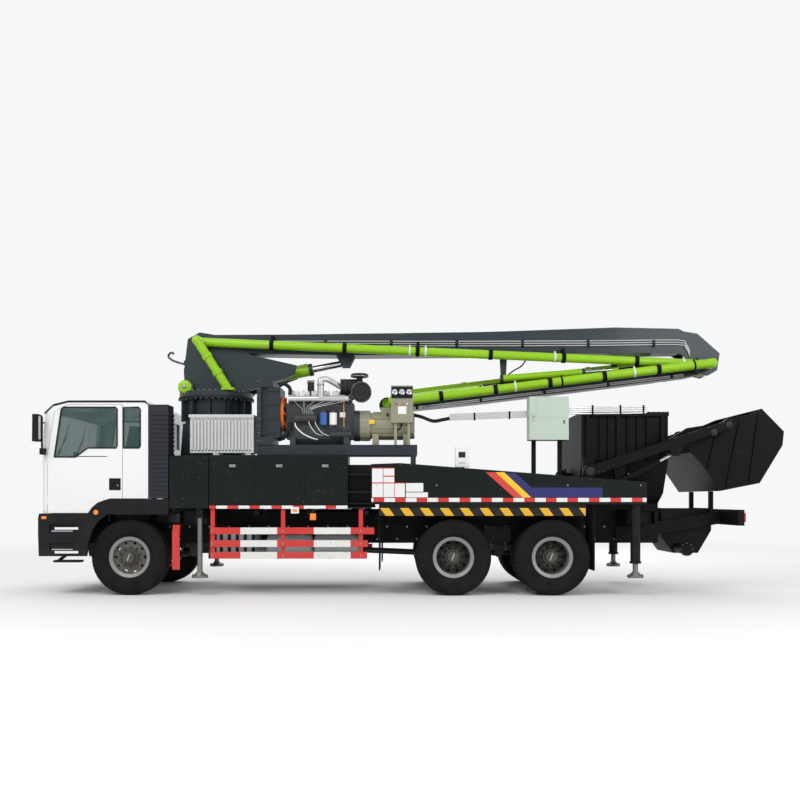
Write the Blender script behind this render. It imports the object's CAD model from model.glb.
"""Looks of the concrete pump truck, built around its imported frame.

Metres, with the front towards -X, the left side (the photo's) towards -Y and the ground at z = 0.
"""
import math

import bmesh
import bpy
from mathutils import Matrix, Vector


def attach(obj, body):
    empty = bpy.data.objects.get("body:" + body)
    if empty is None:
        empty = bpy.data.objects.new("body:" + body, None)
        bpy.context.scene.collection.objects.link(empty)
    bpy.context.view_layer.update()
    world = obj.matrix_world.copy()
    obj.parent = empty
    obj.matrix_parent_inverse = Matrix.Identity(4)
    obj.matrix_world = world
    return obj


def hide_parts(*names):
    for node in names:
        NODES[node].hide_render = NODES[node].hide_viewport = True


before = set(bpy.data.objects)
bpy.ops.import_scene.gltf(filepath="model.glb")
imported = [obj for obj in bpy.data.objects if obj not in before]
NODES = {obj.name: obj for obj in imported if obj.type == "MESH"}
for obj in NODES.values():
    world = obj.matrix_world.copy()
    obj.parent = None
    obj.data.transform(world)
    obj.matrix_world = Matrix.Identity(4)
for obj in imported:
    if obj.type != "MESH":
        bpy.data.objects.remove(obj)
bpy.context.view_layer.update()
LEFT, RIGHT = -1, 1
SIDES = ((LEFT, "left"), (RIGHT, "right"))
FORWARD, REARWARD, LEFTWARD, UPWARD, DOWNWARD = (-1, 0, 0), (1, 0, 0), (0, -1, 0), (0, 0, 1), (0, 0, -1)
SEAT_Y = 1.2495   # fittings start just inside the faces of cab and deck
PAINT_Y = 1.2502  # painted bands and labels stand just off them


# ---- Camera and lamps

def place(name, data):
    """A new object with this data in the scene."""
    thing = bpy.data.objects.new(name, data)
    bpy.context.scene.collection.objects.link(thing)
    return thing


def make_camera():
    data = bpy.data.cameras.new("camera")
    data.sensor_width = 36
    data.angle = math.radians(47.0)
    data.shift_y = 0.125
    data.clip_end = 200
    camera = place("camera", data)
    camera.location = (-0.216, -14.219, 1.353)
    camera.rotation_euler = (math.pi / 2, 0, 0)
    bpy.context.scene.camera = camera


def area_light(name, at, target, size, watts):
    data = bpy.data.lights.new(name, "AREA")
    data.shape = "RECTANGLE"
    data.size, data.size_y = size
    data.energy = watts
    lamp = place(name, data)
    lamp.location = at
    lamp.rotation_euler = (Vector(target) - Vector(at)).to_track_quat("-Z", "Y").to_euler()


# ---- Materials

class Net:
    """A node tree, with short calls for the nodes that the looks share."""

    def __init__(self, owner):
        owner.use_nodes = True
        self.owner = owner
        self.tree = owner.node_tree
        self.tree.nodes.clear()

    def fill(self, node, inputs):
        """Puts a value or a link on each input, by name or number."""
        for key, value in inputs.items():
            socket = node.inputs[key]
            if isinstance(value, bpy.types.NodeSocket):
                self.tree.links.new(value, socket)
            elif socket.type == "RGBA" and len(value) == 3:
                socket.default_value = (*value, 1)
            else:
                socket.default_value = value

    def node(self, kind, inputs=None, **settings):
        n = self.tree.nodes.new("ShaderNode" + kind)
        for key, value in settings.items():
            setattr(n, key, value)
        self.fill(n, inputs or {})
        return n

    def noise(self, scale, detail):
        inputs = {"Vector": self.place, "Scale": scale, "Detail": detail, "Roughness": 0.55}
        return self.node("TexNoise", inputs).outputs["Fac"]

    def math(self, operation, a, b, clamp=False):
        return self.node("Math", {0: a, 1: b}, operation=operation, use_clamp=clamp).outputs[0]

    def remap(self, value, low, high, out_low=0.0, out_high=1.0):
        return self.node("MapRange", dict(enumerate((value, low, high, out_low, out_high)))).outputs[0]

    def mix(self, fac, a, b):
        return self.node("Mix", {0: fac, 6: a, 7: b}, data_type="RGBA").outputs[2]

    def mix_shaders(self, fac, a, b, out):
        self.fill(out, {0: self.node("MixShader", {0: fac, 1: a.outputs[0], 2: b.outputs[0]}).outputs[0]})

    def axis(self, i, of=None):
        return self.node("SeparateXYZ", {0: of or self.place}).outputs[i]

    def bump(self, height, strength):
        bump = self.node("Bump", {"Strength": strength, "Distance": 0.002, "Height": height})
        self.fill(self.shader, {"Normal": bump.outputs[0]})


def material_net(name):
    """A material's net, with its shader linked up and object coordinates at hand."""
    net = Net(bpy.data.materials.new(name))
    net.shader = net.node("BsdfPrincipled")
    net.out = net.node("OutputMaterial", {0: net.shader.outputs[0]})
    net.place = net.node("TexCoord").outputs["Object"]
    return net


def scaled(colour, k):
    return tuple(min(1.0, c * k) for c in colour)


CHIP_COLOUR = (0.16, 0.08, 0.045)


def paint(name, colour, rough, metal=0.0, coat=0.0, vary=0.14, grain=120.0, bump=0.12, dust=0.05,
        dust_colour=(0.27, 0.235, 0.18), dust_z=(0.3, 1.6), chips=0.0, bands=None, shine=0.5):
    """Paint or metal with uneven tone, road dust that thins upwards, settled dust and small chips."""
    net = material_net(name)
    fine = net.noise(grain, 3)
    if bands:
        base = bands(net)
    else:
        base = net.mix(net.noise(1.7, 5), scaled(colour, 1 - vary), scaled(colour, 1 + vary))
    low = net.remap(net.axis(2), dust_z[1], dust_z[0])
    patch = net.remap(net.noise(5.5, 6), 0.34, 0.68)
    up = net.remap(net.axis(2, net.node("NewGeometry").outputs["Normal"]), 0.55, 1.0)
    dirt = net.math("ADD", net.math("MULTIPLY", low, dust), net.math("MULTIPLY", up, dust * 0.45))
    dirt = net.math("MULTIPLY", dirt, patch, clamp=True)
    base = net.mix(dirt, base, dust_colour)
    if chips:
        spots = net.remap(net.noise(38, 2), 0.69 - chips * 0.05, 0.72 - chips * 0.05)
        where = net.remap(net.noise(2.6, 3), 0.5, 0.62)
        base = net.mix(net.math("MULTIPLY", spots, where), base, CHIP_COLOUR)
    worn = net.remap(fine, 0.2, 0.8, rough - 0.05, rough + 0.07)
    worn = net.math("ADD", worn, net.math("MULTIPLY", dirt, 0.35), clamp=True)
    net.fill(net.shader, {"Base Color": base, "Roughness": worn, "Metallic": metal, "Coat Weight": coat,
        "Coat Roughness": 0.08, "Specular IOR Level": shine})
    net.bump(fine, bump)
    return net.owner


def glass(name, colour, alpha):
    net = material_net(name)
    smear = net.noise(3.0, 5)
    net.fill(net.shader, {"Base Color": net.mix(smear, colour, scaled(colour, 1.5)), "Alpha": alpha,
        "Roughness": net.remap(smear, 0.3, 0.7, 0.03, 0.1), "Coat Weight": 0.6})
    return net.owner


def banded(name, colours, pitch, offset, slant=0.0, share=0.5, **more):
    """Paint in two colours by turns along the truck, which may lean with height."""
    def bands(net):
        along = net.math("ADD", net.axis(0), net.math("MULTIPLY", net.axis(2), slant))
        # A hundred pitches more keep the value above zero over the whole truck
        turn = net.math("DIVIDE", net.math("ADD", along, offset + 100 * pitch), pitch)
        return net.mix(net.math("GREATER_THAN", net.math("FRACT", turn, 0.0), share), *colours)
    return paint(name, colours[0], bands=bands, **more)


WHITE, RED = (0.78, 0.785, 0.79), (0.56, 0.022, 0.018)
BOOM_DUST, WHEEL_DUST, GUARD_DUST = (2.0, 4.0), (0.1, 1.2), (0.3, 1.2)
# Colour, roughness and whatever differs from the usual paint
PAINTS = {
    "cab_white": (WHITE, 0.22, dict(coat=0.6, vary=0.03, bump=0.03, dust=0.1, dust_z=(0.9, 1.7))),
    "green_black": ((0.005, 0.0085, 0.0072), 0.4, dict(coat=0.03, bump=0.1, dust=0.03, chips=0.15, shine=0.15)),
    "frame_black": ((0.003, 0.0033, 0.0036), 0.46, dict(dust_z=(0.2, 1.5), chips=0.15, shine=0.12)),
    "slate": ((0.018, 0.025, 0.033), 0.42, dict(chips=0.3, shine=0.3)),
    "boom_black": ((0.022, 0.034, 0.04), 0.3, dict(coat=0.12, bump=0.05, dust=0.04, dust_z=BOOM_DUST, shine=0.3)),
    "boom_dark": ((0.008, 0.0125, 0.011), 0.34, dict(coat=0.08, bump=0.05, dust=0.03, dust_z=BOOM_DUST, shine=0.3)),
    "lime": ((0.265, 0.53, 0.007), 0.27, dict(coat=0.2, vary=0.08, bump=0.05, dust=0.04, dust_z=BOOM_DUST, chips=0.3,
                                              shine=0.3)),
    "plastic": ((0.0065, 0.0075, 0.0095), 0.5, dict(vary=0.2, bump=0.3, grain=420, shine=0.18)),
    "intake": ((0.02, 0.021, 0.028), 0.5, dict(vary=0.2, bump=0.3, grain=420, shine=0.25)),
    "trim": ((0.075, 0.078, 0.085), 0.7, dict(bump=0.5, grain=500, dust=0.0)),
    "rubber": ((0.0062, 0.0062, 0.0064), 0.78, dict(vary=0.3, bump=0.45, grain=260, dust=0.1, dust_z=(0.0, 1.3),
                                                    dust_colour=(0.1, 0.09, 0.075), shine=0.15)),
    "rim_pale": ((0.25, 0.245, 0.25), 0.42, dict(metal=0.4, vary=0.2, dust=0.2, dust_z=WHEEL_DUST, chips=0.6)),
    "rim_grey": ((0.075, 0.073, 0.07), 0.5, dict(metal=0.2, vary=0.22, dust=0.25, dust_z=WHEEL_DUST, chips=0.8)),
    "rim_dark": ((0.012, 0.013, 0.012), 0.5, dict(vary=0.25, dust=0.12, dust_z=WHEEL_DUST, chips=0.6, shine=0.3)),
    "hub_steel": ((0.055, 0.055, 0.048), 0.45, dict(metal=0.2, dust=0.15, dust_z=WHEEL_DUST, chips=0.7)),
    "axle": ((0.02, 0.02, 0.021), 0.6, dict(metal=0.1, bump=0.35, grain=60, dust=0.25, dust_z=(0.2, 1.2), chips=0.8,
                                              shine=0.3)),
    "cast": ((0.032, 0.036, 0.038), 0.52, dict(metal=0.2, bump=0.4, grain=90, dust=0.08, chips=0.6, shine=0.4)),
    "cast_blue": ((0.026, 0.036, 0.046), 0.42, dict(coat=0.1, bump=0.3, grain=90, dust=0.06, chips=0.5)),
    "alloy": ((0.55, 0.56, 0.57), 0.36, dict(metal=0.85, bump=0.25, grain=140, dust=0.1)),
    "cooler": ((0.66, 0.67, 0.68), 0.33, dict(metal=0.9, vary=0.08, bump=0.2, grain=200, dust=0.15,
                                              dust_z=(1.9, 2.6))),
    "tank": ((0.33, 0.35, 0.36), 0.42, dict(metal=0.3, dust=0.3, dust_z=(0.4, 1.1), chips=0.5)),
    "beige": ((0.25, 0.25, 0.17), 0.45, dict(bump=0.2, chips=0.5)),
    "cabinet": ((0.44, 0.52, 0.44), 0.48, dict(vary=0.05, bump=0.4, grain=600, dust_z=(2.0, 3.0))),
    "chrome": ((0.7, 0.71, 0.73), 0.1, dict(metal=1.0, vary=0.03, bump=0.02)),
    "jack": ((0.22, 0.22, 0.22), 0.36, dict(metal=0.8, bump=0.15, dust=0.35, dust_z=(0.2, 0.9))),
    "bolt": ((0.3, 0.3, 0.29), 0.38, dict(metal=0.8, bump=0.2, dust=0.1)),
    "orange": ((0.8, 0.17, 0.015), 0.4, dict(dust=0.1)),
    "red": ((0.6, 0.045, 0.028), 0.34, dict(coat=0.2, dust=0.08, chips=0.3)),
    "yellow": ((0.86, 0.5, 0.02), 0.38, dict(dust=0.08, chips=0.3)),
    "navy": ((0.022, 0.024, 0.135), 0.34, dict(coat=0.1, shine=0.3)),
    "label": ((0.74, 0.75, 0.75), 0.5, dict(vary=0.05, dust=0.1)),
    "sign_blue": ((0.012, 0.03, 0.17), 0.42, dict(dust=0.03, shine=0.3)),
    "filter_blue": ((0.02, 0.1, 0.36), 0.3, dict(coat=0.4)),
    "hose": ((0.007, 0.007, 0.008), 0.6, dict(bump=0.4, grain=300, dust=0.06, shine=0.3)),
    "lens_clear": ((0.74, 0.77, 0.8), 0.12, dict(coat=1.0, vary=0.05)),
    "lens_orange": ((0.86, 0.24, 0.01), 0.15, dict(coat=1.0)),
    "lens_red": ((0.6, 0.012, 0.01), 0.15, dict(coat=1.0)),
    "guard_red": (RED, 0.35, dict(dust=0.15, dust_z=GUARD_DUST, chips=0.4)),
}
M = {name: paint(name, colour, rough, **more) for name, (colour, rough, more) in PAINTS.items()}
M["glass"] = glass("tinted_glass", (0.022, 0.066, 0.064), 0.42)
M["guard"] = banded("guard", (RED, (0.72, 0.72, 0.7)), 1.036, 2.986, rough=0.35, dust=0.15, dust_z=GUARD_DUST,
    chips=0.4)
M["red_white"] = banded("red_white", (RED, (0.74, 0.74, 0.73)), 0.3036, 0.59, rough=0.3, dust=0.08)
M["hazard"] = banded("hazard", ((0.72, 0.4, 0.022), (0.008, 0.008, 0.008)), 0.2806, 0.153, slant=0.73, share=0.44,
    rough=0.4, dust=0.08, shine=0.3)


def soften(thing, bevel, smooth=35.0, segments=2):
    """Smooth shading up to an angle, and a small bevel on edges that are sharper."""
    mesh = thing.data
    mesh.polygons.foreach_set("use_smooth", [True] * len(mesh.polygons))
    mesh.set_sharp_from_angle(angle=math.radians(smooth))
    if bevel:
        mod = thing.modifiers.new("bevel", "BEVEL")
        mod.width, mod.segments = bevel, segments
        mod.limit_method, mod.angle_limit = "ANGLE", math.radians(40)
        mod.harden_normals = True


def dress(name, material, bevel):
    """Gives a CAD node its finish and takes the hard edge off its corners."""
    node = NODES[name]
    node.data.materials.clear()
    node.data.materials.append(M[material])
    attributes = node.data.attributes
    if "custom_normal" in attributes:
        attributes.remove(attributes["custom_normal"])
    if bevel:
        node.modifiers.new("weld", "WELD").merge_threshold = 1e-5
    soften(node, bevel)


def by_island(name, *rules):
    """Other finishes for faces of a node, by tests on the face's centre. The last rule that fits holds."""
    data = NODES[name].data
    for k, (material, test) in enumerate(rules, start=1):
        data.materials.append(M[material])
        for face in data.polygons:
            if test(face.center):
                face.material_index = k


# ---- Mesh building

def angles(count, shift=0.0):
    """Angles spread evenly over a turn."""
    return [math.tau * (i + shift) / count for i in range(count)]


def round_about(centre, axis, radius, count, shift=0.0):
    """Points spread evenly round a centre, square to the axis numbered 0, 1 or 2."""
    points = []
    for a in angles(count, shift):
        offset = [radius * math.cos(a), radius * math.sin(a)]
        offset.insert(axis, 0.0)
        points.append(tuple(c + o for c, o in zip(centre, offset)))
    return points


def frame_of(axis):
    """The axis and two directions square to it."""
    axis = Vector(axis).normalized()
    side = axis.orthogonal().normalized()
    return axis, side, axis.cross(side)


def polar(at, axes, a, r, h=0.0):
    """The point at an angle, a radius and a height in such a frame."""
    axis, u, v = axes
    return at + axis * h + (u * math.cos(a) + v * math.sin(a)) * r


def grid(xs, y, zs):
    return [(x, y, z) for x in xs for z in zs]


def oblong(x0, x1, z0, z1):
    return [(x0, z0), (x0, z1), (x1, z1), (x1, z0)]


def ridge(inner, outer, *heights):
    """Profile of a ring that stands out from inner to outer between four heights."""
    return list(zip((inner, outer, outer, inner), heights))


def curve(points, steps=6):
    """A smooth path through points (Catmull-Rom)."""
    p = [Vector(q) for q in points]
    p = [p[0] * 2 - p[1]] + p + [p[-1] * 2 - p[-2]]
    out = []
    for a, b, c, d in zip(p, p[1:], p[2:], p[3:]):
        for t in (i / steps for i in range(steps)):
            bend = (2 * a - 5 * b + 4 * c - d) * t * t + (3 * b - a - 3 * c + d) * t ** 3
            out.append(0.5 * ((2 * b) + (c - a) * t + bend))
    out.append(p[-2])
    return out


class Part:
    """One piece, gathered from many shapes in one mesh."""

    def __init__(self, name, material, slot, body="truck"):
        self.name, self.body, self.slot = name, body, slot
        self.bm = bmesh.new()
        self.tones, self.index = [material], 0

    def tone(self, material):
        """The faces added from now on take this material."""
        if material not in self.tones:
            self.tones.append(material)
        self.index = self.tones.index(material)
        return self

    def solid(self, rings, closed=True):
        """Joins rings of points into a skin, with caps at both ends."""
        rows = [[self.bm.verts.new(p) for p in ring] for ring in rings]
        n = len(rows[0])
        loops = [(a[i], a[(i + 1) % n], b[(i + 1) % n], b[i]) for a, b in zip(rows, rows[1:]) for i in range(n)]
        if closed:
            loops += [rows[0][::-1], rows[-1]]
        for loop in loops:
            self.bm.faces.new(loop).material_index = self.index
        return self

    def box(self, a, b, turn=None):
        """A box between two corners, which may be turned by (degrees, axis, pivot)."""
        lo, hi = (Vector([pick(pair) for pair in zip(a, b)]) for pick in (min, max))
        rings = [[Vector((x, y, z)) for x, y in ((lo.x, lo.y), (hi.x, lo.y), (hi.x, hi.y),
            (lo.x, hi.y))] for z in (lo.z, hi.z)]
        if turn:
            angle, axis, pivot = turn
            spin = Matrix.Rotation(math.radians(angle), 4, axis)
            spin = Matrix.Translation(pivot) @ spin @ Matrix.Translation(-Vector(pivot))
            rings = [[spin @ p for p in ring] for ring in rings]
        return self.solid(rings)

    def boxes(self, a, b, count, step):
        """The same box a number of times, each one a step further."""
        for k in range(count):
            self.box(*([c + s * k for c, s in zip(corner, step)] for corner in (a, b)))
        return self

    def prism(self, points, y0, y1):
        """An outline in x and z, between two values of y."""
        return self.solid([[(x, y, z) for x, z in points] for y in sorted((y0, y1), reverse=True)])

    def lathe(self, at, axis, profile, seg=24, closed=True, start=0.0):
        """Turns (radius, height) pairs about an axis through a point."""
        axes = frame_of(axis)
        turns = [start + a for a in angles(seg)]
        return self.solid([[polar(Vector(at), axes, a, r, h) for a in turns] for r, h in profile], closed)

    def cap(self, at, axis, r, h, top, rise, seg=32):
        """A round plate whose rim is taken down: (r, h) is its edge and (top, rise) its face."""
        return self.lathe(at, axis, [(r, 0), (r, h), (top, rise)], seg)

    def rod(self, a, b, r, seg=16):
        a, b = Vector(a), Vector(b)
        return self.lathe(a, b - a, [(r, 0), (r, (b - a).length)], seg)

    def stud(self, at, axis, r, h):
        """A hexagon head."""
        return self.lathe(at, axis, [(r, 0), (r, h * 0.85), (r * 0.85, h)], 6)

    def bolt(self, at, axis, r, h):
        """A hexagon head on its washer."""
        return self.lathe(at, axis, [(r * 1.5, 0), (r * 1.5, h * 0.25)], 12).stud(at, axis, r, h)

    def bolts(self, points, axis, r, h):
        for at in points:
            self.bolt(at, axis, r, h)
        return self

    def studs(self, points, axis, r, h):
        for at in points:
            self.stud(at, axis, r, h)
        return self

    def tube(self, path, r, seg=8):
        """A round tube through points, with a frame carried along so that it doesn't twist."""
        path = [Vector(p) for p in path]
        tangents = [(b - a).normalized() for a, b in zip(path[:1] + path, path[1:] + path[-1:])]
        side = tangents[0].orthogonal().normalized()
        rings = []
        for p, t in zip(path, tangents):
            side = (side - t * side.dot(t)).normalized()
            rings.append([polar(p, (t, side, t.cross(side)), a, r) for a in angles(seg)])
        return self.solid(rings)

    def hose(self, points, r, seg=8, steps=6):
        return self.tube(curve(points, steps), r, seg)

    def mesh(self):
        bmesh.ops.recalc_face_normals(self.bm, faces=self.bm.faces[:])
        mesh = bpy.data.meshes.new(self.name)
        self.bm.to_mesh(mesh)
        self.bm.free()
        return mesh

    def done(self, bevel=0.001, smooth=35.0, segments=2):
        piece = place(self.name, self.mesh())
        for tone in self.tones:
            piece.data.materials.append(M[tone])
        soften(piece, bevel, smooth, segments)
        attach(piece, self.body)
        return piece


# ---- The boom's lines, and the finishes of the CAD nodes

SLOPE = math.radians(7)
KNEE_B, KNEE_C = Vector((-0.413476, 0, 2.80284)), Vector((4.052981, 0, 3.351252))
ALONG = Vector((math.cos(SLOPE), 0, math.sin(SLOPE)))
UP = Vector((-math.sin(SLOPE), 0, math.cos(SLOPE)))
PIPE_R = 0.066
ROOT_1, TIP_1, PIPE_2 = Vector((-3.25, -0.335, 3.74)), Vector((4.45, -0.335, 3.4)), Vector((0, -0.49, 0))
ALONG_1 = (TIP_1 - ROOT_1).normalized()


def above_fold(point, knee):
    return (Vector(point) - knee).dot(UP)


def is_collar(point, start, end, reach):
    """Whether a face stands out from a pipe, away from the pipe's ends, by up to the reach above it."""
    v = Vector(point) - start
    axis = (end - start).normalized()
    s = v.dot(axis)
    away = v - axis * s
    return 0.15 < s < (end - start).length - 0.15 and away.length > PIPE_R + 0.0025 and (
        away.length < PIPE_R + 0.0125 or away.z > -0.04 and away.length < PIPE_R + reach)


def on_fold(knee, x, y, z):
    """A point in a folded arm's own frame, as a point of the truck."""
    return knee + ALONG * x + UP * z + Vector((0, y, 0))


# Material, slot and the nodes that take them
FINISHES = (
    ("frame_black", "frame_black", "chassis_frame tail_frame subframe mixer_tank pump_hopper skip skip_barrels"),
    ("cast", "engine_metal", "driveline genset_engine"),
    ("rubber", "flap_rubber", "mudflaps"),
    ("axle", "axle_steel", "front_axle rear_axles knuckle_left knuckle_right"),
    ("cab_white", "cab_white", "cab_shell door_left door_right"),
    ("glass", "glass", "cab_glass door_glass_left door_glass_right"),
    ("trim", "cab_trim", "cab_interior"),
    ("plastic", "skirt_plastic", "cab_skirt"),
    ("lens_clear", "lens", "lamps"),
    ("green_black", "deck_green", "lockers deck_sides outrigger_front_left outrigger_front_right "
                                  "outrigger_rear_left outrigger_rear_right"),
    ("guard", "guard_red", "side_guards"),
    ("tank", "tank_grey", "tanks"),
    ("cooler", "cooler_silver", "cooler"),
    ("slate", "frame_black", "genset_frame pedestal"),
    ("beige", "alternator_beige", "alternator"),
    ("cabinet", "cabinet_grey", "cabinet cabinet_door"),
    ("boom_black", "boom_black", "turret arm_1"),
    ("boom_dark", "boom_black", "arm_2 arm_3 arm_4"),
    ("lime", "pipe_lime", "pipe_1 pipe_2 lift_barrel"),
    ("chrome", "rod_chrome", "lift_rod skip_rods"),
    ("jack", "jack_steel", "jack_front_left jack_front_right jack_rear_left jack_rear_right"),
)


def dress_all():
    for material, slot, names in FINISHES:
        for name in names.split():
            dress(name, material, 0 if material == "glass" else 0.003)
    # The riser and the pipes on arms 3 and 4 share their arm's node
    by_island("turret", ("lime", lambda c: c.y < -0.33 and c.z > 3.0))
    by_island("arm_3", ("lime", lambda c: above_fold(c, KNEE_B) > 0.122 and abs(c.y - 0.315) < 0.09))
    by_island("arm_4", ("lime", lambda c: c.x < -0.23 or abs(c.y - 0.555) < 0.09 and (
        above_fold(c, KNEE_B) > 0.0 and c.x < 0.0 or above_fold(c, KNEE_C) > 0.1)))
    root_2 = KNEE_B + PIPE_2
    by_island("pipe_1", ("frame_black", lambda c: is_collar(c, ROOT_1, TIP_1, 0.11)))
    by_island("pipe_2", ("frame_black", lambda c: is_collar(c, root_2, root_2 + ALONG * 4.5, 0.012)))
    for door in ("door_left", "door_right"):
        by_island(door, ("plastic", lambda c: (
            -4.33 < c.x < -4.14 and 1.485 < c.z < 1.665 and 1.2 < abs(c.y) < 1.2385)))
    by_island("cab_skirt", ("intake", lambda c: c.x > -3.85 and c.z > 1.3))
    by_island("side_guards", ("guard_red", lambda c: c.x < -3.1 or c.x < -2.74 and abs(c.y) < 1.213))
    by_island("lamps", ("lens_orange", lambda c: abs(c.y) > 1.2 and 1.13 < c.z < 1.23),
        ("lens_red", lambda c: c.x > 4.0))
    by_island("cabinet", ("label", lambda c: c.x < 1.0 and c.z > 1.815),
        ("frame_black", lambda c: c.z < 2.21 and (c.x > 1.0 or c.z < 1.815)))
    by_island("genset_engine", ("alloy", lambda c: c.y < -1.0 and 2.74 < c.z < 3.04 and c.x > -1.85),
        ("label", lambda c: 2.78 < c.z < 2.93 and abs(c.y + 0.85) < 0.1 and c.x < -0.95),
        ("orange", lambda c: c.x < -1.851 and 2.3 < c.z < 2.9), ("hose", lambda c: c.z > 2.86 and c.x > -1.1),
        ("axle", lambda c: c.y > -0.72 and c.z > 2.74))


# ---- Wheels

TYRE_R = 0.54
BLOCK_FOOT_R = 0.519
# Radius and distance from the middle plane, from a tyre's bead to its crown
TYRE_HALF = [(0.262, 0.104), (0.292, 0.112), (0.3, 0.121), (0.345, 0.137), (0.35, 0.1405), (0.358, 0.1405),
    (0.363, 0.139), (0.4, 0.1445), (0.44, 0.144), (0.444, 0.1458), (0.452, 0.1456), (0.456, 0.143), (0.492, 0.1385),
    (0.512, 0.13), (0.522, 0.118), (0.526, 0.06)]
# Columns of tread blocks, how many a turn, the share that they fill and their lean
STEER_TREAD = ([(-0.126, -0.084), (-0.074, -0.032), (-0.022, 0.022), (0.032, 0.074), (0.084, 0.126)], 62, 0.9, 0.1)
DRIVE_TREAD = ([(-0.127, -0.07), (-0.058, -0.006), (0.006, 0.058), (0.07, 0.127)], 44, 0.8, 0.16)


def add_tyre(part, centre, axis, columns, count, fill, skew):
    profile = [(r, -h) for r, h in TYRE_HALF] + [(r, h) for r, h in TYRE_HALF[::-1]]
    part.lathe(centre, axis, profile + [(0.2565, 0.1), (0.2565, -0.1), (0.262, -0.104)], 64, closed=False)
    axes = frame_of(axis)
    pitch = math.tau / count
    e, rise = 0.0012 / TYRE_R, 0.0015
    for k, (h0, h1) in enumerate(columns):
        lean = skew * pitch * (1 if k % 2 else -1)
        r0, r1 = TYRE_R - 0.006 * (k == 0), TYRE_R - 0.006 * (k == len(columns) - 1)
        for a in angles(count, 0.5 * (k % 2)):
            b = a + pitch * fill
            foot = ((a, h0), (b, h0), (b + lean, h1), (a + lean, h1))
            top = ((a + e, r0, h0 + rise), (b - e, r0, h0 + rise), (b + lean - e, r1, h1 - rise),
                (a + lean + e, r1, h1 - rise))
            part.solid([[polar(centre, axes, t, BLOCK_FOOT_R, h) for t, h in foot],
                [polar(centre, axes, t, r, h) for t, r, h in top]])


def rim_mesh(d, centre_h):
    """A rim with its disc at height d and ten hand holes, about +Z, cut once and used for each wheel."""
    part = Part("rim", "rim_grey", "tyre_rubber")
    profile = [(0.289, 0.12), (0.293, 0.114), (0.29, 0.107), (0.262, 0.104), (0.256, 0.098), (0.256, -0.098),
        (0.262, -0.104), (0.29, -0.107), (0.293, -0.114), (0.289, -0.12), (0.242, -0.116),
        (0.242, max(d - 0.03, -0.114)), (0.172, d - 0.013), (0.098, d - 0.012), (0.098, d), (0.166, d),
        (0.18, d - 0.004), (0.24, d - 0.002), (0.242, 0.104), (0.262, 0.112), (0.289, 0.12)]
    part.lathe((0, 0, 0), UPWARD, profile, 80, closed=False)
    bmesh.ops.remove_doubles(part.bm, verts=part.bm.verts[:], dist=1e-5)
    for face in part.bm.faces:
        face.material_index = int(face.calc_center_median().xy.length > 0.2405)
    cutter = Part("cut", "rim_grey", "tyre_rubber")
    for low, high in zip(round_about((0, 0, d - 0.08), 2, 0.206, 10), round_about((0, 0, d + 0.08), 2, 0.206, 10)):
        cutter.rod(low, high, 0.021, 20)
    whole, cut = place("rim_tmp", part.mesh()), place("cut_tmp", cutter.mesh())
    mod = whole.modifiers.new("holes", "BOOLEAN")
    mod.object, mod.operation = cut, "DIFFERENCE"
    result = bpy.data.meshes.new_from_object(whole.evaluated_get(bpy.context.evaluated_depsgraph_get()))
    for thing in (whole, cut):
        bpy.data.objects.remove(thing)
    result.transform(Matrix.Translation((0, 0, centre_h)))
    return result


def make_wheels():
    front_rims = [rim_mesh(0.07, 0.0)]
    twin_rims = [rim_mesh(-0.094, 0.165)]
    twin_rims.append(twin_rims[0].copy())
    twin_rims[1].transform(Matrix.Scale(-1, 4, UPWARD))
    twin_rims[1].flip_normals()
    # Offsets and tread of the tyres, the rims and their paint, then the hub's cap, back and step
    single = ((0.0,), STEER_TREAD, front_rims, "rim_grey", 0.105, -0.13, -0.02)
    twin = ((0.165, -0.165), DRIVE_TREAD, twin_rims, "rim_dark", 0.132, -0.248, -0.09)
    for where, x, y, kind in (("front", -4.06, 1.03, single), ("mid", 0.54, 0.93, twin),
            ("rear", 1.94, 0.93, twin)):
        offsets, tread, rims, metal, cap, back, step = kind
        for side, word in SIDES:
            body = f"wheel_{where}_{word}"
            centre, axis = Vector((x, side * y, TYRE_R)), Vector((0, side, 0))
            for k, offset in enumerate(offsets):
                tyre = Part(f"tyre_{where}_{word}_{k}", "rubber", "tyre_rubber", body)
                add_tyre(tyre, centre + axis * offset, axis, *tread)
                tyre = tyre.done(0)
                if k == 0:
                    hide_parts(body)
            rim = Part(f"rim_{where}_{word}", metal, "tyre_rubber", body).tone("rim_pale")
            outward = Matrix.Translation(centre) @ Matrix.Rotation(math.radians(90 * -side), 4, "X")
            for mesh in rims:
                start = len(rim.bm.verts)
                rim.bm.from_mesh(mesh)
                rim.bm.verts.ensure_lookup_table()
                bmesh.ops.transform(rim.bm, matrix=outward, verts=rim.bm.verts[start:])
            rim.tone("hub_steel").lathe(centre, axis, [
                (0.1, back), (0.205, back), (0.205, step), (0.118, -0.015), (0.118, cap - 0.006), (0.112, cap),
                (0.088, cap), (0.085, cap + 0.042), (0.077, cap + 0.056), (0.045, cap + 0.058)], 36)
            for nut, screw in zip(round_about(centre + axis * 0.071, 1, 0.143, 10, 0.5),
                    round_about(centre + axis * (cap - 0.001), 1, 0.101, 10, 0.5)):
                rim.bolt(nut, axis, 0.0165, 0.034).stud(screw, axis, 0.007, 0.009)
            at = centre + axis * (cap + 0.0585)
            rim.tone("alloy").box(at + Vector((-0.006, 0, -0.05)), at + Vector((0.006, 0, 0.05)) + axis * 0.003,
                turn=(-22 * side, "Y", at))
            at = centre + Vector((0.226, 0, 0.03)) + axis * 0.075
            rim.tone("rubber").rod(at, at + axis * 0.045 + Vector((0.008, 0, 0)), 0.006, 8)
            rim.done(0.0012, smooth=32)


# ---- Painted bands, signs and reflective strips

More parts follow.
